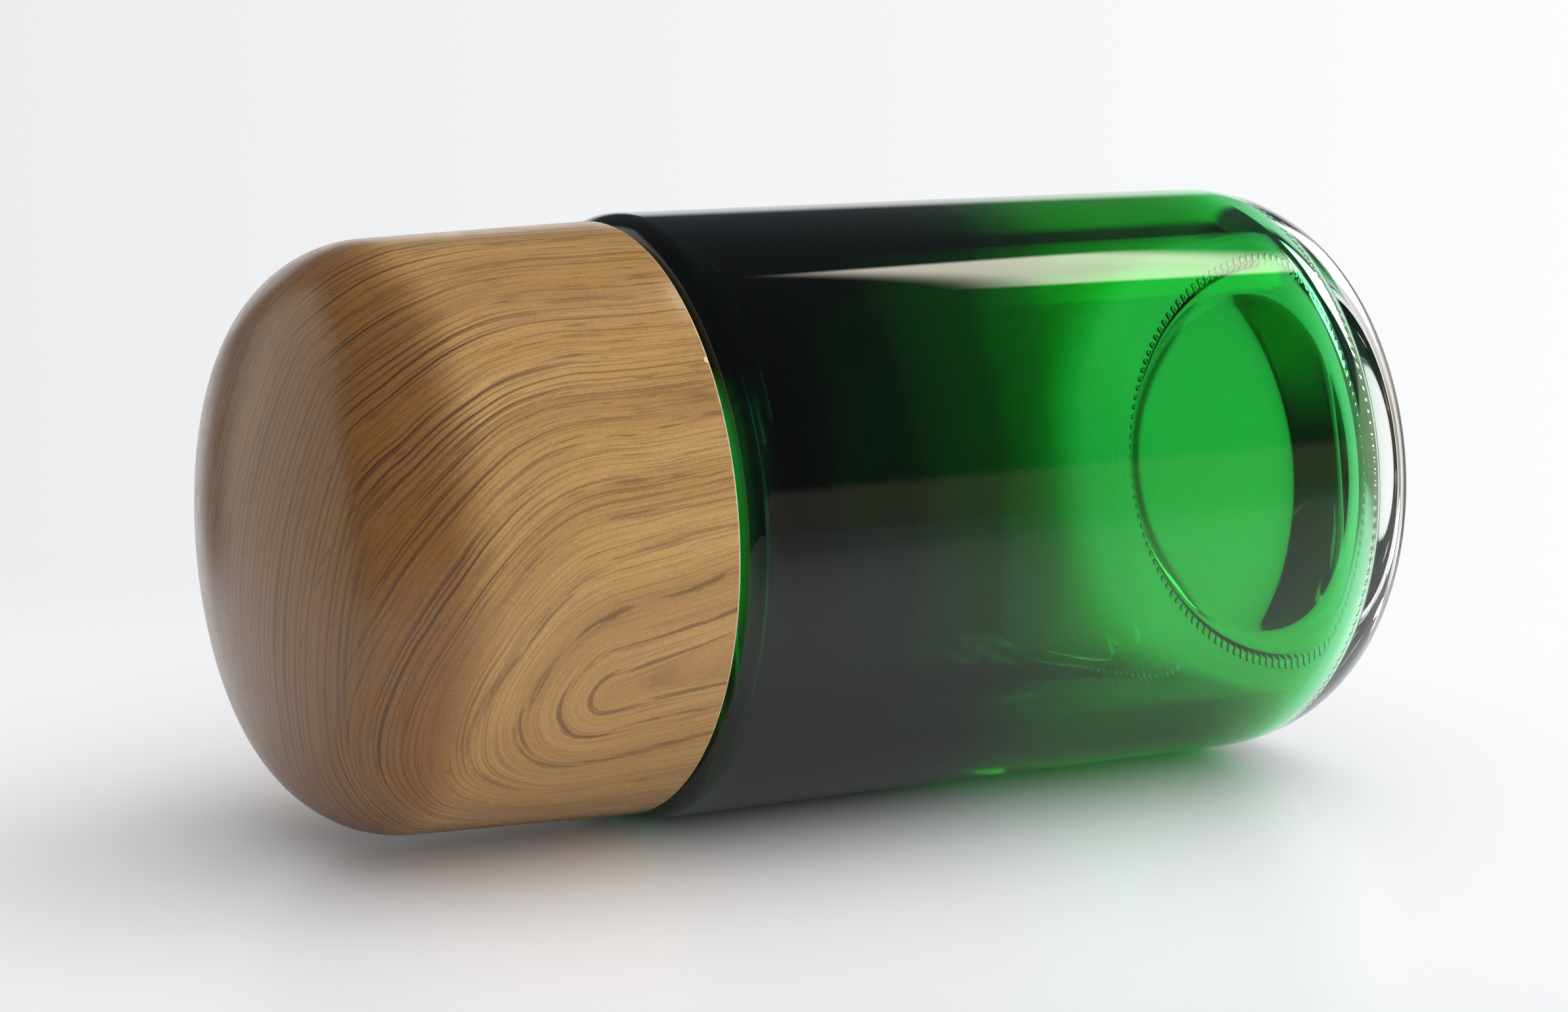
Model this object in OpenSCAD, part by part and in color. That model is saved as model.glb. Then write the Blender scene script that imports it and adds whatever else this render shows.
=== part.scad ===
/* [Bottle body] */
// Outside diameter of the glass
bottle_d = 56; // [52:0.5:62]
// Height from the bearing ring to the flat of the shoulder
body_h = 74.1; // [68:0.5:90]
// Thickness of the side wall
wall_t = 4.7; // [3.8:0.1:5.4]
// Thickness of the base at its thinnest, along the foot of the side wall
base_t = 4; // [3.6:0.1:8]
// Thickness of the shoulder
shoulder_t = 4.5; // [3.5:0.25:6]
// Height of the rounded heel above the bearing ring
heel_h = 9.6; // [7:0.2:12]
// Outside corner radius at the shoulder
shoulder_r = 2.5; // [1.5:0.25:4]
// Inside corner radius at the base
inner_heel_r = 3.6; // [2.5:0.1:6]
// Inside corner radius at the shoulder
inner_shoulder_r = 8; // [5:0.5:9]
// Steepest slope of the domed inside floor, in degrees
floor_slope = 50; // [30:1:55]

/* [Underside] */
// Outside diameter of the flat ring the bottle stands on
bearing_d = 44; // [38:0.5:46]
// Width of the flat ring
bearing_w = 1.6; // [1.2:0.1:3]
// Height, and width, of the bevel inside the flat ring
ring_step = 0.8; // [0.4:0.1:1.2]
// Rise of the hollow underside inside that bevel
push_up = 0.5; // [0.3:0.1:1.2]
// Number of knurl marks round the bearing ring
knurl_count = 120; // [60:1:130]
// Depth of each knurl mark
knurl_depth = 0.25; // [0.15:0.05:0.35]
// Radius of the round knurl mark
knurl_r = 0.35; // [0.3:0.05:0.4]

/* [Neck finish] */
// Diameter of the neck below and between the thread
neck_d = 21.9; // [21:0.1:22.3]
// Diameter over the thread
thread_d = 23.7; // [23.2:0.1:24]
// Height of the neck above the shoulder
neck_h = 10.2; // [9.5:0.1:12]
// Diameter of the bore
bore_d = 14; // [12.5:0.1:15]
// Fillet where the neck meets the shoulder
neck_fillet = 1; // [0.5:0.1:1.4]
// Rounding of the lip
lip_r = 0.7; // [0.4:0.1:0.9]
// Rise of the thread in one turn
pitch = 3.175; // [3.1:0.025:3.3]
// Turns of thread on the neck and in the cap
thread_turns = 1.25; // [1:0.25:1.5]
// Distance from the lip down to the upper end of the neck thread
thread_from_lip = 2.2; // [2:0.1:2.6]

/* [Pour reducer] */
// Diameter of the pouring hole
orifice_d = 4.5; // [3:0.1:6]
// Diameter of the flange on the lip
reducer_flange_d = 19.4; // [17:0.1:20]
// Thickness of the flange
reducer_flange_t = 1; // [0.8:0.1:1.4]
// Length of the plug below the flange
reducer_len = 8; // [6:0.5:9]
// Wall of the plug
reducer_wall = 1.1; // [0.8:0.1:1.6]
// Depth of the drip dish round the hole
dish_depth = 0.8; // [0.4:0.1:1.2]
// Height of each sealing bead on the plug
bead_h = 0.3; // [0.2:0.05:0.5]

/* [Liner] */
// Thickness of the sealing wad
liner_t = 1; // [0.8:0.1:1.6]

/* [Cap insert] */
// Wall outside the female thread
insert_wall = 1.4; // [1.2:0.1:1.8]
// Thickness of the closed top
insert_top_t = 1.5; // [1.2:0.1:2]
// Thickness of the flange that closes the shell
insert_flange_t = 1.6; // [1.2:0.1:2]
// Distance of the flange above the rim of the cap
insert_recess = 1.5; // [1:0.1:2.5]

/* [Cap shell] */
// Height of the cap from rim to crown
cap_h = 35.8; // [30:0.5:42]
// Outside diameter at the rim
cap_rim_d = 54.6; // [50:0.1:56]
// Outside diameter where the end rounding starts
cap_end_d = 53.3; // [48:0.1:55]
// Radius of the end rounding
cap_edge_r = 11.3; // [7:0.1:13]
// Radius of the crown of the cap
crown_r = 57; // [45:1:90]
// Wall of the shell
cap_t = 2.1; // [1.6:0.1:2.6]
// Edge radius of the rim
rim_r = 0.35; // [0.2:0.05:0.5]
// Number of ribs inside
rib_count = 8; // [6:2:10]
// Thickness of a rib
rib_t = 1.2; // [0.8:0.1:1.6]
// Diameter of the post where the ribs meet
post_d = 7; // [5:0.5:10]

/* [Fits] */
// Gap between the rim of the cap and the shoulder
cap_gap = 0.4; // [0.3:0.05:0.8]
// Radial gap between a thread crest and the wall facing it
thread_play = 0.3; // [0.25:0.05:0.4]
// Gap between facing thread flanks
flank_play = 0.15; // [0.1:0.05:0.25]
// Radial gap of the plug's beads in the bore
plug_play = 0.02; // [0.01:0.01:0.06]
// Gap between the insert and the shell that holds it
insert_play = 0.08; // [0.05:0.01:0.15]
// Radial gap between the liner and the insert
liner_play = 0.25; // [0.2:0.05:0.4]

/* [Hidden] */
$fn = 96;
eps = 0.01;

glass_green = [0.04, 0.42, 0.12, 0.6];
milky_white = [0.93, 0.93, 0.9];
foam_white = [0.97, 0.97, 0.96];
wood_tan = [0.69, 0.52, 0.32];

// Degrees between the points of a rounded corner and of the cap's crown
arc_step = 5;
crown_step = 2;
// Steps from the edge of a dome to its middle, for the shallow ones and for the inside floor
dome_steps = 6;
floor_steps = 12;
// Degrees between the sections of a thread
thread_step = 7.5;

// Glass
body_r = bottle_d / 2;
cavity_r = body_r - wall_t;
neck_r = neck_d / 2;
bore_r = bore_d / 2;
bearing_out_r = bearing_d / 2;
bearing_in_r = bearing_out_r - bearing_w;
hollow_r = bearing_in_r - ring_step;
ceiling_z = body_h - shoulder_t;
lip_z = body_h + neck_h;
// Radius of the glass where the inside of the shoulder turns up into the bore
throat_r = 2.5;
// Rounding of the inner edge of the lip
bore_edge_r = 0.4;
// Foot of the domed floor, where the corner along the side wall runs into it at the floor's steepest
floor_r = cavity_r - inner_heel_r * (1 + sin(floor_slope));
floor_z = base_t + inner_heel_r * (1 - cos(floor_slope));
// The floor falls away from its middle with this power of the radius: flat first, then ever faster
floor_power = 6;
floor_rise = floor_r * tan(floor_slope) / floor_power;
knurl_mid_r = bearing_out_r - bearing_w / 2;

// Thread ridges: width at the wall and at the crest, and how deep the ridge is rooted in its wall
ridge_base_w = 1.5;
ridge_crest_w = 0.7;
ridge_bite = 0.4;
// Degrees over which a ridge rises at each of its ends
ridge_lead = 45;
male_crest_r = thread_d / 2;
female_root_r = male_crest_r + thread_play;
female_crest_r = neck_r + thread_play;
male_start_z = lip_z - thread_from_lip - thread_turns * pitch;
// Ridge width halfway up, which sets how far below the male ridge the female one runs
ridge_mid_w = (ridge_base_w + ridge_crest_w) / 2;
female_start_z = male_start_z - ridge_mid_w - flank_play;

// Reducer and liner
reducer_top_z = lip_z + reducer_flange_t;
plug_r = bore_r - plug_play;
plug_body_r = plug_r - bead_h;
bead_count = 3;
liner_top_z = reducer_top_z + liner_t;
liner_r = female_root_r - liner_play;

// Cap
rim_z = body_h + cap_gap;
cap_top_z = rim_z + cap_h;
cap_end_r = cap_end_d / 2;
cap_rim_r = cap_rim_d / 2;
edge_cx = cap_end_r - cap_edge_r;
crown_cz = cap_top_z - crown_r;
edge_cz = crown_cz + sqrt((crown_r - cap_edge_r) ^ 2 - edge_cx ^ 2);
// Angle at which the crown runs into the end rounding, and the draft of the side
crown_a = atan2(edge_cz - crown_cz, edge_cx);
draft_a = atan2(cap_rim_r - cap_end_r, edge_cz - rim_z);
shell_in_r = cap_rim_r - cap_t;
insert_out_r = female_root_r + insert_wall;
insert_z = rim_z + insert_recess;
insert_flange_top_z = insert_z + insert_flange_t;
insert_top_z = liner_top_z + insert_top_t;
insert_flange_r = shell_in_side(insert_flange_top_z) - insert_play;
// Bead inside the shell under which the flange snaps, and how far the long ribs reach into the flange
snap_bead_r = 0.45;
snap_bead_z = insert_z - snap_bead_r - insert_play;
drive_depth = 1;

// Inside radius of the shell's drafted side at height z
function shell_in_side(z) = cap_rim_r - cap_t - (z - rim_z) * tan(draft_a);

// Points along an arc about (cx, cz) from angle a0 to a1
function arc(cx, cz, r, a0, a1) =
    let (n = max(1, ceil(abs(a1 - a0) / arc_step)))
    [for (i = [0 : n]) let (a = a0 + (a1 - a0) * i / n) [cx + r * cos(a), cz + r * sin(a)]];

function reversed(points) = [for (i = [len(points) - 1 : -1 : 0]) points[i]];

// Points of a shallow dome over the axis, from just inside (r_edge, z_edge) up to the axis
function dome(r_edge, z_edge, rise) =
    let (
        sphere_r = (r_edge ^ 2 + rise ^ 2) / (2 * rise),
        half_a = asin(r_edge / sphere_r),
        n = dome_steps
    )
    [for (i = [1 : n]) let (a = half_a * (1 - i / n))
        [sphere_r * sin(a), z_edge + rise - sphere_r * (1 - cos(a))]];

// Points of the inside floor, from just inside its foot up to the axis
function inside_floor() = [
    for (i = [1 : floor_steps])
        let (across = 1 - i / floor_steps)
        [floor_r * across, floor_z + floor_rise * (1 - across ^ floor_power)]
];

// Outline of the crown, end rounding and drafted side, moved inwards by t, from the axis down
function cap_outline(t) = concat(
    [[0, cap_top_z - t]],
    arc(0, crown_cz, crown_r - t, 90 - crown_step, crown_a),
    arc(edge_cx, edge_cz, cap_edge_r - t, crown_a - arc_step / 2, draft_a)
);

// A helical ridge rooted in a wall at wall_r, with its crest at crest_r and both ends run out
module helical_ridge(wall_r, crest_r, start_z) {
    sections = ceil(thread_turns * 360 / thread_step);
    inward = crest_r < wall_r ? -1 : 1;
    root_r = wall_r - inward * ridge_bite;
    low_r = wall_r - inward * ridge_bite / 2;
    points = [
        for (i = [0 : sections])
            let (
                a = i * thread_step,
                rise = min(1, min(i, sections - i) * thread_step / ridge_lead),
                top_r = low_r + (crest_r - low_r) * rise,
                z = start_z + pitch * a / 360
            )
            for (p = [
                [root_r, -ridge_base_w / 2],
                [top_r, -ridge_crest_w / 2],
                [top_r, ridge_crest_w / 2],
                [root_r, ridge_base_w / 2]
            ])
                [p.x * cos(a), p.x * sin(a), z + p.y]
    ];
    sides = [
        for (i = [0 : sections - 1], k = [0 : 3])
            let (a = 4 * i + k, b = 4 * i + (k + 1) % 4)
            for (f = [[a, b, b + 4], [a, b + 4, a + 4]])
                inward > 0 ? f : [f[2], f[1], f[0]]
    ];
    last = 4 * sections;
    ends = [[2, 1, 0], [3, 2, 0], [last, last + 1, last + 2], [last, last + 2, last + 3]];
    polyhedron(points, concat(sides, [for (f = ends) inward > 0 ? f : [f[2], f[1], f[0]]]));
}

module glass_blank() {
    rotate_extrude()
        polygon(concat(
            reversed(dome(hollow_r, ring_step, push_up)),
            [[hollow_r, ring_step], [bearing_in_r, 0]],
            [for (p = arc(0, 0, 1, -90, 0))
                [bearing_out_r + (body_r - bearing_out_r) * p.x, heel_h + heel_h * p.y]],
            arc(body_r - shoulder_r, body_h - shoulder_r, shoulder_r, 0, 90),
            arc(neck_r + neck_fillet, body_h + neck_fillet, neck_fillet, 270, 180),
            arc(neck_r - lip_r, lip_z - lip_r, lip_r, 0, 90),
            arc(bore_r + bore_edge_r, lip_z - bore_edge_r, bore_edge_r, 90, 180),
            arc(bore_r + throat_r, ceiling_z + throat_r, throat_r, 180, 270),
            arc(cavity_r - inner_shoulder_r, ceiling_z - inner_shoulder_r, inner_shoulder_r, 90, 0),
            arc(cavity_r - inner_heel_r, base_t + inner_heel_r, inner_heel_r, 0, -90 - floor_slope),
            inside_floor()
        ));
}

module knurl_mark() {
    translate([knurl_mid_r, 0, knurl_depth - knurl_r])
        rotate([0, 90, 0])
            cylinder(h = bearing_w, r = knurl_r, center = true, $fn = 24);
}

module glass_bottle() {
    color(glass_green) {
        difference() {
            glass_blank();
            for (i = [0 : knurl_count - 1])
                rotate(i * 360 / knurl_count)
                    knurl_mark();
        }
        helical_ridge(neck_r, male_crest_r, male_start_z);
    }
}

module pour_reducer() {
    color(milky_white)
        rotate_extrude()
            difference() {
                union() {
                    translate([0, lip_z])
                        square([reducer_flange_d / 2, reducer_flange_t]);
                    translate([0, lip_z - reducer_len])
                        square([plug_body_r, reducer_len]);
                    for (i = [1 : bead_count])
                        translate([plug_body_r, lip_z - i * reducer_len / (bead_count + 1)])
                            circle(r = bead_h);
                }
                translate([0, lip_z - reducer_len - eps])
                    square([plug_body_r - reducer_wall, reducer_len - dish_depth]);
                translate([0, reducer_top_z - dish_depth])
                    square([plug_body_r - reducer_wall, dish_depth + eps]);
                square([orifice_d / 2, reducer_top_z + eps]);
            }
}

module cap_liner() {
    color(foam_white)
        translate([0, 0, reducer_top_z])
            cylinder(h = liner_t, r = liner_r);
}

module cap_insert() {
    color(milky_white) {
        difference() {
            union() {
                translate([0, 0, insert_z])
                    cylinder(h = insert_top_z - insert_z, r = insert_out_r);
                translate([0, 0, insert_z])
                    cylinder(h = insert_flange_t, r = insert_flange_r);
            }
            translate([0, 0, insert_z - eps])
                cylinder(h = liner_top_z - insert_z + eps, r = female_root_r);
            for (i = [0 : 2 : rib_count - 1])
                rotate(i * 360 / rib_count)
                    translate([
                        insert_out_r,
                        -rib_t / 2 - insert_play,
                        insert_flange_top_z - drive_depth - insert_play
                    ])
                        cube([body_r, rib_t + 2 * insert_play, insert_flange_t]);
        }
        helical_ridge(female_root_r, female_crest_r, female_start_z);
    }
}

// A plate from radius r_in outwards and from foot_z up to the crown
module rib_plate(r_in, foot_z) {
    translate([r_in, -rib_t / 2, foot_z])
        cube([body_r, rib_t, cap_top_z - foot_z]);
}

// Ribs that press on the insert's top and flange; every second one reaches into a slot of the flange
module shell_ribs() {
    for (i = [0 : rib_count - 1])
        rotate(i * 360 / rib_count) {
            rib_plate(insert_out_r + insert_play, insert_flange_top_z - (i % 2 == 0 ? drive_depth : 0));
            rib_plate(0, insert_top_z);
        }
    translate([0, 0, insert_top_z])
        cylinder(h = cap_top_z - insert_top_z, d = post_d);
}

module shell_skin() {
    rotate_extrude()
        translate([shell_in_side(snap_bead_z), snap_bead_z])
            circle(r = snap_bead_r, $fn = 24);
    rotate_extrude()
        polygon(concat(
            cap_outline(0),
            arc(cap_rim_r - rim_r, rim_z + rim_r, rim_r, 0, -90),
            [[shell_in_r, rim_z]],
            reversed(cap_outline(cap_t))
        ));
}

module cap_shell() {
    color(wood_tan) {
        shell_skin();
        intersection() {
            shell_ribs();
            rotate_extrude()
                polygon(concat(
                    cap_outline(cap_t / 2),
                    [[shell_in_side(insert_z) + cap_t / 2, insert_z], [0, insert_z]]
                ));
        }
    }
}

glass_bottle();
pour_reducer();
cap_liner();
cap_insert();
cap_shell();
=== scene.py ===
"""Round splash bottle of green-lacquered glass with a wood-look screw cap, lying on a pale table.

The bottle's own frame is upright, +Z along its axis. The table is the plane that touches its side at -X,
so up in the picture is +X, and the camera is rolled to match.
"""
import math

import bpy
import numpy as np
from mathutils import Matrix, Vector


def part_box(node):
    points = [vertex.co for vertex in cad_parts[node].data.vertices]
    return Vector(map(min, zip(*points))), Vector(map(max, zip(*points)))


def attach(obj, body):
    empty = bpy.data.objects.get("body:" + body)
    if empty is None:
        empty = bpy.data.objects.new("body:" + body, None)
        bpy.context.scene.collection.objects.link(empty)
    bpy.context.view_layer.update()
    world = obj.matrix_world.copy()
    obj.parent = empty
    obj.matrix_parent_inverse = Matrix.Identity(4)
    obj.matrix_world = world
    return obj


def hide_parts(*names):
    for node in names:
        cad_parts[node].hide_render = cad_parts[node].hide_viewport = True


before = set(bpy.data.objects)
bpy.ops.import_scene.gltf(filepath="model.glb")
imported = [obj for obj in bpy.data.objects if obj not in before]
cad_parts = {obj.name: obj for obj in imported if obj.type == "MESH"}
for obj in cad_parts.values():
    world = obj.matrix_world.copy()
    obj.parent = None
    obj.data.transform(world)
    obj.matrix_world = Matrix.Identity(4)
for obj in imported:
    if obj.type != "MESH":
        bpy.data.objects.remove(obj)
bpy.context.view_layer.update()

MM = 0.001

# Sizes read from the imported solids
glass_low, glass_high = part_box("glass_bottle")
shell_low, shell_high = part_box("cap_shell")
insert_low, insert_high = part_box("cap_insert")
BODY_R = glass_high.x
LIP_Z = glass_high.z
RIM_Z = shell_low.z
CAP_TOP_Z = shell_high.z
CAP_RIM_R = shell_high.x

# Glass, the same values as in the solids
BODY_H = 74.1 * MM
WALL_T = 4.7 * MM
BASE_T = 4 * MM
SHOULDER_T = 4.5 * MM
HEEL_H = 9.6 * MM
BEARING_OUT_R = 22 * MM
BEARING_W = 1.6 * MM
BEARING_IN_R = BEARING_OUT_R - BEARING_W
SHOULDER_R = 2.5 * MM
INNER_HEEL_R = 3.6 * MM
INNER_SHOULDER_R = 8 * MM
FLOOR_SLOPE = math.radians(50)
FLOOR_POWER = 6
RING_STEP = 0.8 * MM
PUSH_UP = 0.5 * MM
KNURL_COUNT = 120
KNURL_DEPTH = 0.25 * MM
NECK_R = 10.95 * MM
NECK_FILLET = 1 * MM
LIP_R = 0.7 * MM
BORE_R = 7 * MM
BORE_EDGE_R = 0.4 * MM
THROAT_R = 2.5 * MM
THREAD_R = 11.85 * MM
PITCH = 3.175 * MM
THREAD_TURNS = 1.25
THREAD_FROM_LIP = 2.2 * MM
RIDGE_HALF_BASE = 0.75 * MM
RIDGE_HALF_CREST = 0.35 * MM
RIDGE_LEAD_TURNS = 0.125

# Cap, the same values as in the solids
CAP_END_R = 26.65 * MM
CAP_EDGE_R = 11.3 * MM
CROWN_R = 57 * MM
CAP_T = 2.1 * MM
RIM_R = 0.35 * MM
RIB_COUNT = 8
RIB_T = 1.2 * MM
RIB_IN_R = 13.63 * MM
POST_R = 3.5 * MM
INSERT_FLANGE_T = 1.6 * MM
DRIVE_DEPTH = 1 * MM
SNAP_BEAD_R = 0.45 * MM
INSERT_PLAY = 0.08 * MM

# Camera: turned and raised about the middle of the joint between cap and glass
CAMERA_TURN = 28.853
CAMERA_RISE = 9.618
CAMERA_ROLL = -0.345
CAMERA_DISTANCE = 12.266 * BODY_R
CAMERA_AIM_RIGHT = -0.5855 * BODY_R
CAMERA_AIM_UP = -0.0424 * BODY_R
LENS_MM = 85.66
SENSOR_MM = 36

# Lacquer: the heights between which it fades in on the heel, how far its tones wander, and how much
# deeper they lie along the upper side, up to where that ends below the shoulder
FADE_LOW = 5 * MM
FADE_HIGH = 14 * MM
LACQUER_SWAY = 3 * MM
LACQUER_HEAVY = 7 * MM
HEAVY_FULL_Z = 45 * MM
HEAVY_END_Z = 55 * MM

# Grain of the printed wood, in millimetres: the heart of its nested loops and how they open
HEART = (-10.3, -24.9, 85.6)
LOOP_TILT = 0.25
LOOP_SPREAD = 0.05
LOOP_REACH = 18
# Heights over which the wood darkens (partly painted shade of the end rounding), and over which straight
# lines take over on the closed end
DARKER_AND_SHADED_Z = (96.0, 101.5)
END_LINES_Z = (105.5, 107.5)
# A small knot in the print
KNOT = (-17.1, -20.4, 99.1)
KNOT_R = 0.45
# Bare rim that the wood print leaves uncovered, and the chip in it
BARE_RIM = 0.22
CHIP_TURN = math.radians(-51)
CHIP_H = 0.3

# Table: half its width, then where it fades into the backdrop ahead of the bottle's foot as the camera
# looks, where it turns grey below the picture as painted shade that the glass mirrors, and where it ends
# to the left of the picture
TABLE_HALF = 3.0
TABLE_EDGE = (0.0, 0.09)
TABLE_SHADE_NEAR = (-0.22, -0.07)
TABLE_LEFT = (-0.185, -0.215)

# Brightness of the room as the glass mirrors it and as it lights dull surfaces
BACKDROP = 1.0
WALL = 0.35
LEFT_WALL = 0.9
WINDOW = 5.0
STRIP = 7.0
ROOM_LIGHT = 1.8
# The rest of the room, and what the glass mirrors besides
DIM = (0.02, 0.022, 0.025)
MIRRORED_DIM = (0.07, 0.08, 0.088)
# Where its parts stand, from and to: degrees right of the view, then degrees above the table
BACKDROP_AT = (-30, 16, -90, 15)
BACKDROP_THROUGH_AT = (-28, 16, -90, 30)
WALL_AT = (16, 160, -90, 13)
LEFT_WALL_AT = (-89, -46, -90, 35)
WINDOW_AT = (22, 42, 10, 29)
STRIP_AT = (33, 56, 51.5, 58.5)

NEARLY = 0.001 * MM
GLASS_SEGMENTS = 720
CAP_SEGMENTS = 256
POST_SEGMENTS = 48


# ---------------------------------------------------------------- meshes

def arc(cx, cz, r, a0, a1, step=3.0):
    """Points (r, z) along an arc, angles in degrees."""
    n = max(1, math.ceil(abs(a1 - a0) / step))
    angles = [math.radians(a0 + (a1 - a0) * i / n) for i in range(n + 1)]
    return [(cx + r * math.cos(a), cz + r * math.sin(a)) for a in angles]


def line(p, q, step):
    """Points from p up to but not including q, at most step apart."""
    n = max(1, math.ceil(math.dist(p, q) / step))
    return [(p[0] + (q[0] - p[0]) * i / n, p[1] + (q[1] - p[1]) * i / n) for i in range(n)]


def dome(r_edge, z_edge, rise, n=10):
    """Points of a shallow dome from just inside its edge to the axis."""
    sphere_r = (r_edge ** 2 + rise ** 2) / (2 * rise)
    half = math.asin(r_edge / sphere_r)
    angles = [half * (1 - i / n) for i in range(1, n + 1)]
    return [(sphere_r * math.sin(a), z_edge + rise - sphere_r * (1 - math.cos(a))) for a in angles]


def revolve(name, profile, segments, shape=None):
    """A closed mesh turned from a profile that starts and ends on the axis.

    shape(r, z, turn) may move each ring's points; turn runs from 0 to 1 round the axis.
    """
    turn = np.arange(segments) / segments
    rings = []
    for r, z in profile[1:-1]:
        rr, zz = np.full(segments, r), np.full(segments, z)
        if shape:
            rr, zz = shape(rr, zz, turn)
        a = 2 * math.pi * turn
        rings.append(np.stack([rr * np.cos(a), rr * np.sin(a), zz], 1))
    points = np.concatenate(rings + [[[0, 0, profile[0][1]], [0, 0, profile[-1][1]]]])
    first_pole, last_pole = len(points) - 2, len(points) - 1
    faces = []
    for i in range(segments):
        j = (i + 1) % segments
        faces.append((first_pole, j, i))
        top = (len(rings) - 1) * segments
        faces.append((last_pole, top + i, top + j))
    for k in range(len(rings) - 1):
        a, b = k * segments, (k + 1) * segments
        for i in range(segments):
            j = (i + 1) % segments
            faces.append((a + i, a + j, b + j, b + i))
    return new_object(name, points, faces)


def new_object(name, points, faces, smooth=True):
    mesh = bpy.data.meshes.new(name)
    mesh.from_pydata([tuple(p) for p in points], [], faces)
    if smooth:
        mesh.shade_smooth()
    mesh.update()
    piece = bpy.data.objects.new(name, mesh)
    bpy.context.scene.collection.objects.link(piece)
    return piece


# ---------------------------------------------------------------- node helpers

class Nodes:
    """A short way to build the nodes of a material or of the world."""

    def __init__(self, owner, output="ShaderNodeOutputMaterial"):
        owner.use_nodes = True
        self.owner = owner
        self.tree = owner.node_tree
        self.tree.nodes.clear()
        self.output = self.add(output)

    def add(self, kind, inputs=None, **settings):
        node = self.tree.nodes.new(kind)
        for key, value in settings.items():
            setattr(node, key, value)
        for key, value in (inputs or {}).items():
            self.set(node.inputs[key], value)
        return node

    def set(self, socket, value):
        if isinstance(value, bpy.types.Node):
            value = value.outputs[0]
        if isinstance(value, bpy.types.NodeSocket):
            self.tree.links.new(value, socket)
        else:
            socket.default_value = value

    def math(self, operation, a, b=0.0, c=0.0, clamp=False):
        return self.add("ShaderNodeMath", {0: a, 1: b, 2: c}, operation=operation, use_clamp=clamp)

    def mix(self, factor, a, b):
        node = self.add("ShaderNodeMix", data_type="RGBA")
        for key, value in (("Factor_Float", factor), ("A_Color", a), ("B_Color", b)):
            self.set(next(s for s in node.inputs if s.identifier == key), value)
        return node.outputs[2]

    def ramp(self, factor, stops):
        node = self.add("ShaderNodeValToRGB", {0: factor})
        elements = node.color_ramp.elements
        while len(elements) < len(stops):
            elements.new(0.5)
        for element, (place, colour) in zip(elements, stops):
            element.position = place
            element.color = (*colour, 1)
        return node.outputs[0]

    def range(self, value, low, high, to_low=0.0, to_high=1.0, smooth=False):
        """The value carried from low..high over to to_low..to_high, and held past either end."""
        kind = "SMOOTHSTEP" if smooth else "LINEAR"
        return self.add(
            "ShaderNodeMapRange",
            {0: value, 1: low, 2: high, 3: to_low, 4: to_high},
            interpolation_type=kind,
        ).outputs[0]

    def noise(self, vector, scale, detail=2.0):
        """Noise about 0.5, with features 1 / scale across."""
        settings = {"Vector": vector, "Scale": scale, "Detail": detail}
        return self.add("ShaderNodeTexNoise", settings).outputs[0]

    def scaled(self, vector, factor):
        node = self.add("ShaderNodeVectorMath", {0: vector, "Scale": factor}, operation="SCALE")
        return node.outputs[0]

    def along(self, vector, axis):
        """How far the vector reaches along an axis."""
        node = self.add("ShaderNodeVectorMath", {0: vector, 1: axis}, operation="DOT_PRODUCT")
        return node.outputs["Value"]

    def finish(self, shader):
        self.set(self.output.inputs[0], shader)
        return self.owner


def material_nodes(name):
    return Nodes(bpy.data.materials.new(name))


# ---------------------------------------------------------------- glass bottle

def heel_points():
    """The elliptical heel, from the bearing ring up to the side wall."""
    quarter = arc(0, 0, 1, -90, 0)
    return [(BEARING_OUT_R + (BODY_R - BEARING_OUT_R) * x, HEEL_H + HEEL_H * y) for x, y in quarter]


def floor_dome(cavity_r, n=24):
    """The inside floor: nearly flat in the middle, falling ever faster to the gutter along the wall."""
    foot_r = cavity_r - INNER_HEEL_R * (1 + math.sin(FLOOR_SLOPE))
    foot_z = BASE_T + INNER_HEEL_R * (1 - math.cos(FLOOR_SLOPE))
    rise = foot_r * math.tan(FLOOR_SLOPE) / FLOOR_POWER
    return [
        (foot_r * (1 - i / n), foot_z + rise * (1 - (1 - i / n) ** FLOOR_POWER))
        for i in range(1, n + 1)
    ]


def glass_profile():
    """The outside from the middle of the base to the lip, and the inside from the lip to the floor."""
    cavity_r = BODY_R - WALL_T
    heel_z = BASE_T + INNER_HEEL_R
    ceiling = BODY_H - SHOULDER_T
    step_r = BEARING_IN_R - RING_STEP
    push = dome(step_r, RING_STEP, PUSH_UP)[::-1]
    outside = (
        push
        + [(step_r, RING_STEP)]
        + line((BEARING_IN_R, 0), (BEARING_OUT_R, 0), 0.25 * MM)
        + heel_points()
        + arc(BODY_R - SHOULDER_R, BODY_H - SHOULDER_R, SHOULDER_R, 0, 90, 6)
        + arc(NECK_R + NECK_FILLET, BODY_H + NECK_FILLET, NECK_FILLET, 270, 180, 10)[:-1]
        + line((NECK_R, BODY_H + NECK_FILLET), (NECK_R, LIP_Z - LIP_R), 0.14 * MM)
        + arc(NECK_R - LIP_R, LIP_Z - LIP_R, LIP_R, 0, 90, 10)
    )
    inside = (
        arc(BORE_R + BORE_EDGE_R, LIP_Z - BORE_EDGE_R, BORE_EDGE_R, 90, 180, 15)
        + arc(BORE_R + THROAT_R, ceiling + THROAT_R, THROAT_R, 180, 270, 6)
        + arc(cavity_r - INNER_SHOULDER_R, ceiling - INNER_SHOULDER_R, INNER_SHOULDER_R, 90, 0)[:-1]
        + line((cavity_r, ceiling - INNER_SHOULDER_R), (cavity_r, heel_z), 1.5 * MM)
        + arc(cavity_r - INNER_HEEL_R, heel_z, INNER_HEEL_R, 0, -90 - math.degrees(FLOOR_SLOPE))
        + floor_dome(cavity_r)
    )
    return outside, inside


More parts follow.
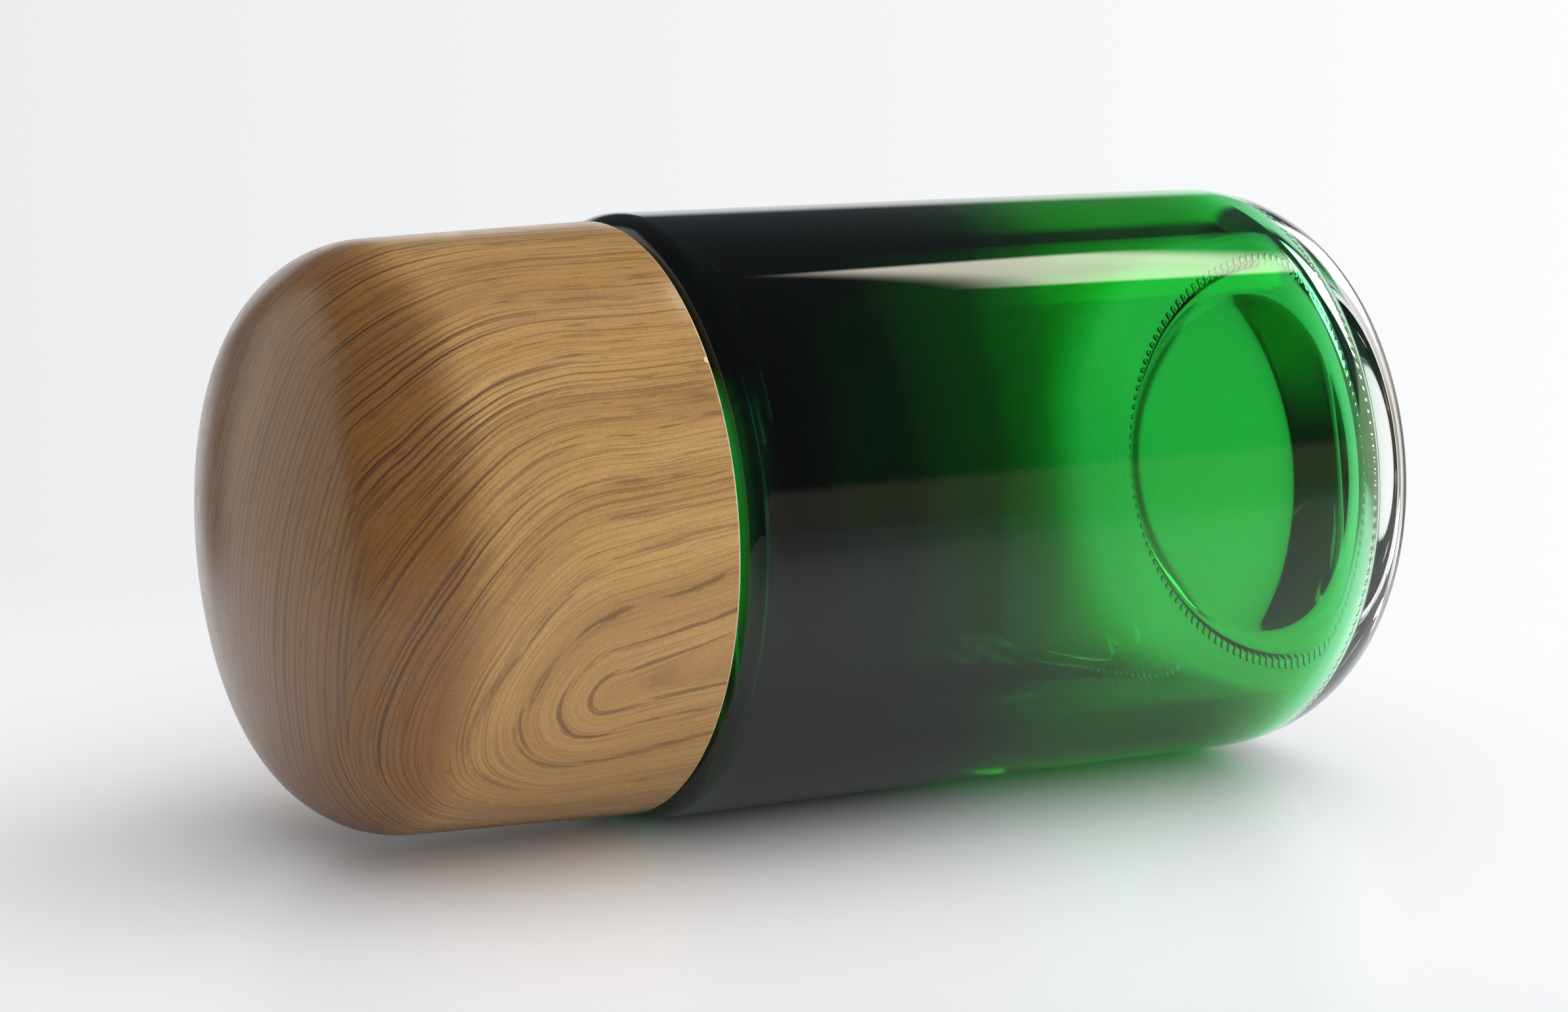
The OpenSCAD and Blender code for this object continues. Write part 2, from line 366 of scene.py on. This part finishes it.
def thread_height(z, turn):
    """0 to 1: how far the thread ridge stands out of the neck at height z."""
    start = LIP_Z - THREAD_FROM_LIP - THREAD_TURNS * PITCH
    height = np.zeros_like(z)
    for k in range(math.ceil(THREAD_TURNS)):
        along = turn + k
        off = np.abs(z - start - PITCH * along)
        flank = np.clip((RIDGE_HALF_BASE - off) / (RIDGE_HALF_BASE - RIDGE_HALF_CREST), 0, 1)
        lead = np.clip(np.minimum(along, THREAD_TURNS - along) / RIDGE_LEAD_TURNS, 0, 1)
        height = np.maximum(height, flank * lead)
    return height


def shape_glass(r, z, turn):
    """Adds the neck's thread and the knurl marks of the bearing ring."""
    if abs(r[0] - NECK_R) < NEARLY and z[0] > BODY_H:
        r = r + (THREAD_R - NECK_R) * thread_height(z, turn)
    if z[0] < NEARLY and BEARING_IN_R + NEARLY < r[0] < BEARING_OUT_R - NEARLY:
        # Round marks with a flat between them
        mark = np.clip(np.cos(2 * math.pi * KNURL_COUNT * turn) * 1.4 - 0.4, 0, 1)
        z = z + KNURL_DEPTH * mark
    return r, z


def make_glass():
    outside, inside = glass_profile()
    piece = revolve("glass_body", outside + inside, GLASS_SEGMENTS, shape_glass)
    piece.data.materials.append(lacquered_glass())
    piece.data.materials.append(clear_glass())
    last_outside = GLASS_SEGMENTS * (len(outside) - 2)
    clear = np.array([max(p.vertices) > last_outside for p in piece.data.polygons], np.int32)
    piece.data.polygons.foreach_set("material_index", clear)
    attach(piece, "bottle")
    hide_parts("glass_bottle")


def glass_shader(n, colour):
    return n.add(
        "ShaderNodeBsdfPrincipled",
        {"Base Color": colour, "Roughness": 0.0, "IOR": 1.5, "Transmission Weight": 1.0},
    )


def lacquered_glass():
    """Clear glass under a transparent lacquer that fades from black at the shoulder to bright green."""
    n = material_nodes("lacquered_glass")
    place = n.add("ShaderNodeTexCoord").outputs["Object"]
    x, _, z = n.add("ShaderNodeSeparateXYZ", {0: place}).outputs
    sway = n.math("MULTIPLY_ADD", n.noise(place, 55.0, 3.0), 2 * LACQUER_SWAY, -LACQUER_SWAY)
    heavy = n.range(x, 0.6 * BODY_R, BODY_R, 0.0, LACQUER_HEAVY, smooth=True)
    heavy = n.math("MULTIPLY", heavy, n.range(z, HEAVY_END_Z, HEAVY_FULL_Z))
    height = n.math("ADD", n.math("ADD", z, sway), heavy)
    # The green line below the cap stays off the upper side
    limit = n.range(x, 0.35 * BODY_R, 0.6 * BODY_R, BODY_H, 0.95 * BODY_H)
    height = n.math("MINIMUM", height, limit)
    lacquer = n.ramp(
        n.range(height, 0.0, BODY_H),
        [
            (0.00, (0.0002, 0.24, 0.0025)),
            (0.43, (0.0002, 0.22, 0.0025)),
            (0.52, (0.0001, 0.14, 0.0016)),
            (0.58, (0.00002, 0.035, 0.0006)),
            (0.65, (0.0, 0.004, 0.0001)),
            (0.78, (0.0, 0.0002, 0.0)),
            (0.955, (0.0, 0.0002, 0.0)),
            (0.985, (0.0002, 0.11, 0.026)),
        ],
    )
    fade = n.range(z, FADE_LOW, FADE_HIGH, smooth=True)
    channels = n.add("ShaderNodeSeparateColor", {0: lacquer}).outputs
    colour = n.add("ShaderNodeCombineColor", {
        part: n.math("POWER", channels[part], fade) for part in ("Red", "Green", "Blue")
    })
    return n.finish(glass_shader(n, colour))


def clear_glass():
    n = material_nodes("clear_glass")
    return n.finish(glass_shader(n, (1, 1, 1, 1)))


# ---------------------------------------------------------------- cap

def cap_centres():
    """Centres of the end rounding and of the crown, the angle where they meet, and the side's draft."""
    edge_x = CAP_END_R - CAP_EDGE_R
    crown_z = CAP_TOP_Z - CROWN_R
    edge_z = crown_z + math.sqrt((CROWN_R - CAP_EDGE_R) ** 2 - edge_x ** 2)
    crown_a = math.degrees(math.atan2(edge_z - crown_z, edge_x))
    draft = math.degrees(math.atan2(CAP_RIM_R - CAP_END_R, edge_z - RIM_Z))
    return edge_x, edge_z, crown_z, crown_a, draft


def cap_outline(inset):
    """Crown, end rounding and drafted side, from the axis down."""
    edge_x, edge_z, crown_z, crown_a, draft = cap_centres()
    crown = arc(0, crown_z, CROWN_R - inset, 90, crown_a, 1)[1:-1]
    edge = arc(edge_x, edge_z, CAP_EDGE_R - inset, crown_a, draft, 3)
    return [(0, CAP_TOP_Z - inset)] + crown + edge


def shell_side(z, inset):
    """Radius of the drafted side at height z, an inset below the outer face."""
    draft = math.radians(cap_centres()[4])
    return CAP_RIM_R - inset - (z - RIM_Z) * math.tan(draft)


def dress_shell(piece):
    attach(piece, "cap")
    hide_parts("cap_shell")


def make_cap_shell():
    outer = cap_outline(0)
    rim = arc(CAP_RIM_R - RIM_R, RIM_Z + RIM_R, RIM_R, 0, -90, 15)
    bead_z = insert_low.z - SNAP_BEAD_R - INSERT_PLAY
    bead = arc(shell_side(bead_z, CAP_T), bead_z, SNAP_BEAD_R, -90, -270, 15)
    inner = [(CAP_RIM_R - CAP_T, RIM_Z)] + bead + cap_outline(CAP_T)[::-1]
    side = line(outer[-1], rim[0], 2 * MM)[1:]
    piece = revolve("cap_shell_skin", (outer + side + rim + inner)[::-1], CAP_SEGMENTS)
    piece.data.materials.append(wood_print())
    piece.data.materials.append(plastic("cap_inside", (0.62, 0.47, 0.30), 0.42))
    first_outside = CAP_SEGMENTS * (len(inner) - 1)
    plain = np.array([min(p.vertices) < first_outside for p in piece.data.polygons], np.int32)
    piece.data.polygons.foreach_set("material_index", plain)
    dress_shell(piece)
    make_cap_ribs(piece.data.materials[1])


def make_cap_ribs(material):
    """Ribs and a post inside the shell; every second rib reaches into the inner cap's flange."""
    points, faces = [], []
    for i in range(RIB_COUNT):
        foot_z = insert_low.z + INSERT_FLANGE_T - (DRIVE_DEPTH if i % 2 == 0 else 0)
        outline = [(0, insert_high.z)] + cap_outline(CAP_T / 2)
        outline.append((shell_side(foot_z, CAP_T / 2), foot_z))
        outline += [(RIB_IN_R, foot_z), (RIB_IN_R, insert_high.z)]
        turn = Matrix.Rotation(2 * math.pi * i / RIB_COUNT, 3, "Z")
        first, count = len(points), len(outline)
        for half in (-RIB_T / 2, RIB_T / 2):
            points += [turn @ Vector((r, half, z)) for r, z in outline]
        faces.append([first + k for k in range(count)])
        faces.append([first + count + k for k in reversed(range(count))])
        for k in range(count):
            m = (k + 1) % count
            faces.append([first + m, first + k, first + count + k, first + count + m])
    ribs = new_object("cap_ribs", points, faces, smooth=False)
    top_z = CAP_TOP_Z - CAP_T / 2
    post_profile = [(0, insert_high.z), (POST_R, insert_high.z), (POST_R, top_z), (0, top_z)]
    post = revolve("cap_post", post_profile, POST_SEGMENTS)
    for piece in (ribs, post):
        piece.data.materials.append(material)
        dress_shell(piece)


class Grain:
    """The fields that the wood print is made of, in millimetres.

    ring is the wandering distance from the heart that the lines follow, and dense says how close they lie.
    """

    def __init__(self, n):
        self.n = n
        self.place = n.scaled(n.add("ShaderNodeTexCoord").outputs["Object"], 1 / MM)
        self.x, self.y, self.z = n.add("ShaderNodeSeparateXYZ", {0: self.place}).outputs
        drift = n.math("MULTIPLY_ADD", n.noise(self.place, 0.04, 1.0), 2.0, -1.0)
        self.wander = n.math("MULTIPLY_ADD", n.noise(self.place, 0.22, 1.0), 0.3, -0.15)
        self.ring = n.math("ADD", n.math("ADD", self.from_heart(), drift), self.wander)
        self.dense = n.range(self.ring, 6.0, 22.0, 0.3, 1.0)

    def from_heart(self):
        """Distance from the heart of the loops, opened towards the rim of the cap."""
        n = self.n
        dx, dy, dz = (n.math("SUBTRACT", a, b) for a, b in zip((self.x, self.y, self.z), HEART))
        near = n.math("ADD", n.math("MULTIPLY", dx, dx), n.math("MULTIPLY", dy, dy))
        near = n.math("EXPONENT", n.math("DIVIDE", near, -LOOP_REACH ** 2))
        toward_end = n.math("MAXIMUM", dz, 0.0)
        toward_rim = n.math("MINIMUM", dz, 0.0)
        across = n.math("MULTIPLY_ADD", n.math("MULTIPLY", dz, near), LOOP_TILT, dx)
        spread = n.math("MULTIPLY", n.math("MULTIPLY", toward_rim, toward_rim), near)
        total = n.math("MULTIPLY_ADD", spread, -LOOP_SPREAD, n.math("MULTIPLY", across, across))
        for part in (dy, toward_end):
            total = n.math("MULTIPLY_ADD", part, part, total)
        return n.math("SQRT", n.math("MAXIMUM", total, 0.04))

    def streaks(self, across, along, detail=2.0):
        """Noise drawn out along the grain; across and along are its changes in a millimetre."""
        n = self.n
        parts = {0: n.math("MULTIPLY", self.ring, across)}
        for k, part in ((1, self.x), (2, n.math("ADD", self.y, self.z))):
            parts[k] = n.math("MULTIPLY", part, along)
        return n.noise(n.add("ShaderNodeCombineXYZ", parts).outputs[0], 1.0, detail)

    def rings(self, spacing, jitter, width):
        """Dark lines round the heart, about a spacing apart and a width across."""
        n = self.n
        phase = n.math("DIVIDE", self.ring, spacing)
        phase = n.math("MULTIPLY_ADD", self.streaks(0.35 / spacing, 0.02), jitter, phase)
        off = n.math("ABSOLUTE", n.math("SUBTRACT", n.math("FRACT", phase), 0.5))
        return n.range(off, width / spacing, 0.3 * width / spacing, smooth=True)

    def loop_lines(self):
        """A few bold ragged lines near the heart and many fine ones, all broken up along their length."""
        n = self.n
        ragged = n.range(self.streaks(2.8, 0.24), 0.38, 0.54, 0.1, 1.0, smooth=True)
        spots = n.range(n.noise(self.place, 0.12), 0.40, 0.60, 0.0, 0.45, smooth=True)
        spots = n.math("MAXIMUM", spots, n.range(self.ring, 17.0, 11.0, 0.0, 0.65))
        bold = n.math("MULTIPLY", self.rings(3.4, 2.2, 0.5), n.math("MULTIPLY", spots, ragged))
        patches = n.range(self.streaks(0.7, 0.03), 0.38, 0.62, 0.25, 1.0, smooth=True)
        finest = n.math("MULTIPLY", self.rings(0.55, 0.8, 0.10), 0.7)
        fine = n.math("MAXIMUM", self.rings(0.95, 1.1, 0.13), finest)
        fine = n.math("MULTIPLY", n.math("MULTIPLY", fine, patches), self.dense)
        fine = n.math("MULTIPLY", fine, n.range(self.z, 91.0, 101.0, 0.5, 1.2), clamp=True)
        broken = n.range(self.streaks(2.2, 0.06), 0.34, 0.48, 0.2, 1.0, smooth=True)
        return n.math("MULTIPLY", n.math("MAXIMUM", bold, fine), broken)

    def end_lines(self):
        """Straight, close lines across the closed end."""
        n = self.n
        slant = n.math("MULTIPLY_ADD", self.x, 0.32, n.math("MULTIPLY_ADD", self.y, 1.15, self.wander))
        parts = {0: n.math("MULTIPLY", slant, 0.9), 1: n.math("MULTIPLY", self.x, 0.02)}
        strands = n.noise(n.add("ShaderNodeCombineXYZ", parts).outputs[0], 1.0)
        phase = n.math("MULTIPLY_ADD", strands, 1.6, slant)
        off = n.math("ABSOLUTE", n.math("SUBTRACT", n.math("FRACT", phase), 0.5))
        lines = n.range(off, 0.36, 0.12, smooth=True)
        lines = n.math("MULTIPLY", lines, n.range(strands, 0.35, 0.6, 0.2, 1.0))
        return n.math("MULTIPLY", lines, 0.8)

    def darkness(self):
        """0 on the bare ground to 1 on a dark line, a pore or the knot."""
        n = self.n
        dark = n.mix(n.range(self.z, *END_LINES_Z), self.loop_lines(), self.end_lines())
        pores = n.range(self.streaks(4.2, 0.20), 0.60, 0.70, smooth=True)
        dark = n.math("MAXIMUM", dark, n.math("MULTIPLY", n.math("MULTIPLY", pores, self.dense), 0.55))
        knot = n.add("ShaderNodeVectorMath", {0: self.place, 1: KNOT}, operation="DISTANCE")
        return n.math("MAXIMUM", dark, n.range(knot.outputs["Value"], KNOT_R, KNOT_R / 3))

    def ground(self):
        """The light wood between the lines, banded and fibrous, darker towards the closed end, partly as
        painted shade.
        """
        n = self.n
        tones = n.ramp(
            self.streaks(0.16, 0.012),
            [(0.30, (0.33, 0.175, 0.050)), (0.52, (0.445, 0.250, 0.076)), (0.72, (0.55, 0.335, 0.112))],
        )
        fibres = n.range(self.streaks(5.5, 0.10, detail=3.0), 0.50, 0.70, 0.0, 0.75)
        tones = n.mix(fibres, tones, (0.27, 0.135, 0.055, 1))
        # Painted shade, in part: the wood darkens towards the closed end, where the rounding turns from
        # the light
        return n.mix(n.range(self.z, *DARKER_AND_SHADED_Z, 0.0, 0.85, smooth=True), tones, (0.22, 0.090, 0.020, 1))

    def bare(self):
        """1 on the rim that the print leaves uncovered, with an uneven edge and a chip."""
        n = self.n
        uneven = n.math("MULTIPLY_ADD", n.noise(self.place, 1.2), 0.16, -0.08)
        off = n.math("ABSOLUTE", n.math("SUBTRACT", n.math("ARCTAN2", self.y, self.x), CHIP_TURN))
        chip = n.range(off, 0.014, 0.006, 0.0, CHIP_H, smooth=True)
        edge = n.math("ADD", n.math("ADD", uneven, chip), RIM_Z / MM + BARE_RIM)
        return n.range(n.math("SUBTRACT", self.z, edge), 0.05, -0.05)


def wood_print():
    """A satin wood print: fine dark lines nested round a heart, short pores, and a bare cream rim."""
    n = material_nodes("wood_print")
    grain = Grain(n)
    wood = n.mix(n.math("MULTIPLY", grain.darkness(), 0.95), grain.ground(), (0.085, 0.038, 0.017, 1))
    wood = n.scaled(wood, n.range(n.noise(grain.place, 4.0, 0.0), 0.3, 0.7, 0.93, 1.04))
    colour = n.mix(grain.bare(), wood, (0.72, 0.60, 0.42, 1))
    rough = n.range(n.noise(grain.place, 0.5, 4.0), 0.3, 0.7, 0.22, 0.28)
    relief = n.noise(grain.place, 2.2, 3.0)
    bump = n.add("ShaderNodeBump", {"Strength": 0.06, "Distance": 0.0001, "Height": relief})
    shader = n.add(
        "ShaderNodeBsdfPrincipled",
        {"Base Color": colour, "Roughness": rough, "Normal": bump},
    )
    return n.finish(shader)


# ---------------------------------------------------------------- inner plastic pieces

def plastic(name, colour, roughness):
    n = material_nodes(name)
    place = n.add("ShaderNodeTexCoord").outputs["Object"]
    cloud = n.noise(place, 400.0, 4.0)
    tint = n.mix(cloud, tuple(0.94 * c for c in colour) + (1,), (*colour, 1))
    bump = n.add("ShaderNodeBump", {"Strength": 0.05, "Distance": 0.0002, "Height": cloud})
    shader = n.add(
        "ShaderNodeBsdfPrincipled",
        {"Base Color": tint, "Roughness": roughness, "Normal": bump, "Subsurface Weight": 0.1},
    )
    return n.finish(shader)


def dress_plastics():
    for node, colour, roughness in (
        ("pour_reducer", (0.86, 0.87, 0.85), 0.35),
        ("cap_insert", (0.84, 0.84, 0.82), 0.38),
        ("cap_liner", (0.9, 0.9, 0.89), 0.6),
    ):
        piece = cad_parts[node]
        piece.data.materials.clear()
        piece.data.materials.append(plastic(node, colour, roughness))


# ---------------------------------------------------------------- table, light and camera

def to_model(along, away, up):
    """From the picture's axes, about the joint between cap and glass, to the bottle's frame."""
    return Vector((up, away, BODY_H - along))


def view_axes():
    """Level directions in the bottle's frame: ahead as the camera looks, and to its right."""
    turn = math.radians(CAMERA_TURN)
    return (0, math.cos(turn), -math.sin(turn)), (0, -math.sin(turn), -math.cos(turn))


def make_camera():
    turn, rise, roll = (math.radians(a) for a in (CAMERA_TURN, CAMERA_RISE, CAMERA_ROLL))
    spin = Matrix.Rotation(rise, 3, "X") @ Matrix.Rotation(turn, 3, "Z")
    right, forward, up = spin[0], spin[1], spin[2]
    offset = Vector((CAMERA_AIM_RIGHT, CAMERA_DISTANCE, CAMERA_AIM_UP))
    place = -(spin.transposed() @ offset)
    rolled_right = right * math.cos(roll) - up * math.sin(roll)
    rolled_up = right * math.sin(roll) + up * math.cos(roll)
    axes = [Vector((v.z, v.y, -v.x)) for v in (rolled_right, rolled_up, -forward)]
    camera = bpy.data.objects.new("camera", bpy.data.cameras.new("camera"))
    camera.data.lens = LENS_MM
    camera.data.sensor_width = SENSOR_MM
    camera.data.clip_start = 0.01
    camera.data.clip_end = 20
    camera.matrix_world = Matrix.Translation(to_model(*place)) @ Matrix(axes).transposed().to_4x4()
    bpy.context.scene.collection.objects.link(camera)
    bpy.context.scene.camera = camera


def make_table():
    """A pale table, greyed towards the camera as painted shade, that fades into the backdrop, ends on the
    left and doesn't show from below.
    """
    corners = [
        to_model(a * TABLE_HALF, b * TABLE_HALF, -BODY_R) for a, b in ((-1, -1), (1, -1), (1, 1), (-1, 1))
    ]
    table = new_object("table", corners, [(0, 1, 2, 3)], smooth=False)
    n = material_nodes("table_white")
    geometry = n.add("ShaderNodeNewGeometry").outputs
    ahead, side = (n.along(geometry["Position"], axis) for axis in view_axes())
    # Painted shade: the table turns grey towards the camera, so that the glass mirrors it darker
    near = n.range(ahead, *TABLE_SHADE_NEAR, smooth=True)
    pale = n.mix(near, (0.55, 0.57, 0.60, 1), (0.92, 0.92, 0.93, 1))
    white = n.add("ShaderNodeBsdfPrincipled", {"Base Color": pale, "Roughness": 0.35})
    clear = n.add("ShaderNodeBsdfTransparent")
    hidden = n.math("MAXIMUM", geometry["Backfacing"], n.range(ahead, *TABLE_EDGE, smooth=True))
    hidden = n.math("MAXIMUM", hidden, n.range(side, *TABLE_LEFT))
    both = n.add("ShaderNodeMixShader", {0: hidden, 1: white, 2: clear})
    table.data.materials.append(n.finish(both))


def area_light(name, place, size, power, colour):
    """A soft lamp at a place in the picture's axes, aimed at the joint between cap and glass."""
    lamp = bpy.data.lights.new(name, "AREA")
    lamp.shape = "RECTANGLE"
    lamp.size, lamp.size_y = size
    lamp.energy = power
    lamp.color = colour
    light = bpy.data.objects.new(name, lamp)
    light.location = to_model(*place)
    light.rotation_mode = "QUATERNION"
    light.rotation_quaternion = (to_model(0, 0, 0) - light.location).to_track_quat("-Z", "Y")
    light.visible_glossy = False
    light.visible_transmission = False
    bpy.context.scene.collection.objects.link(light)


def make_lights():
    area_light("overhead_panel", (0.66, 0.08, 0.66), (0.6, 0.7), 1.5, (1, 0.96, 0.91))
    area_light("right_window", (0.80, -0.30, 0.42), (0.5, 0.5), 0.5, (1, 0.97, 0.93))


def make_world():
    """The room, by direction: a white backdrop, walls, a window and a strip light on the right.

    The glass mirrors it in one form and shows it through in another, dull surfaces are lit by a third,
    and the camera sees a backdrop that is greyer to the left, as painted shade.
    """
    n = Nodes(bpy.data.worlds.new("studio"), "ShaderNodeOutputWorld")
    bpy.context.scene.world = n.owner
    path = n.add("ShaderNodeLightPath").outputs
    toward = n.add("ShaderNodeTexCoord").outputs["Generated"]
    ahead, side = (n.along(toward, axis) for axis in view_axes())
    azimuth = n.math("DEGREES", n.math("ARCTAN2", side, ahead))
    height = n.math("DEGREES", n.math("ARCSINE", n.along(toward, (1, 0, 0))))

    def patch(left, right, low, high, soft):
        """1 inside the given directions and 0 outside them, with edges twice soft degrees wide."""
        inside = 1.0
        for value, start, end in ((azimuth, left, right), (height, low, high)):
            past_start = n.range(value, start - soft, start + soft, smooth=True)
            before_end = n.range(value, end + soft, end - soft, smooth=True)
            inside = n.math("MULTIPLY", inside, n.math("MULTIPLY", past_start, before_end))
        return inside

    def glow(colour, strength, shape):
        return n.scaled(tuple(strength * c for c in colour), shape)

    def total(*parts):
        out = parts[0]
        for part in parts[1:]:
            out = n.add("ShaderNodeVectorMath", {0: out, 1: part}, operation="ADD").outputs[0]
        return out

    lamps = total(
        DIM,
        glow((1, 0.84, 0.64), WALL, patch(*WALL_AT, soft=2)),
        glow((0.95, 0.98, 1), WINDOW, patch(*WINDOW_AT, soft=2)),
        glow((1, 0.93, 0.80), STRIP, patch(*STRIP_AT, soft=1.5)),
    )
    mirrored = total(
        lamps,
        MIRRORED_DIM,
        glow((1, 1, 1), BACKDROP, patch(*BACKDROP_AT, soft=4)),
        glow((1, 0.95, 0.87), LEFT_WALL, patch(*LEFT_WALL_AT, soft=4)),
    )
    through = total(lamps, glow((1, 1, 1), BACKDROP, patch(*BACKDROP_THROUGH_AT, soft=3)))
    ceiling = n.range(height, 35, 75, 0.0, 0.3, smooth=True)
    from_right = n.range(side, -0.5, 0.6, 0.17, 0.85)
    room = glow((0.97, 0.98, 1), ROOM_LIGHT, n.math("ADD", ceiling, from_right))
    # Painted shade: the backdrop that the camera sees is greyer to the left
    plain = n.mix(n.range(azimuth, -15, 12), (0.82, 0.825, 0.84, 1), (0.97, 0.98, 1, 1))
    light = n.mix(path["Is Glossy Ray"], (0, 0, 0, 1), mirrored)
    light = n.mix(path["Is Transmission Ray"], light, through)
    # Light that reaches a dull surface, also through the glass, comes from the room
    light = n.mix(n.math("MINIMUM", path["Diffuse Depth"], 1.0), light, room)
    light = n.mix(path["Is Camera Ray"], light, plain)
    n.finish(n.add("ShaderNodeBackground", {0: light, 1: 1.0}))


def settings():
    scene = bpy.context.scene
    scene.view_settings.view_transform = "Standard"
    scene.cycles.max_bounces = 24
    scene.cycles.transmission_bounces = 24
    scene.cycles.glossy_bounces = 12
    scene.cycles.transparent_max_bounces = 16


settings()
make_camera()
make_glass()
make_cap_shell()
dress_plastics()
make_table()
make_lights()
make_world()
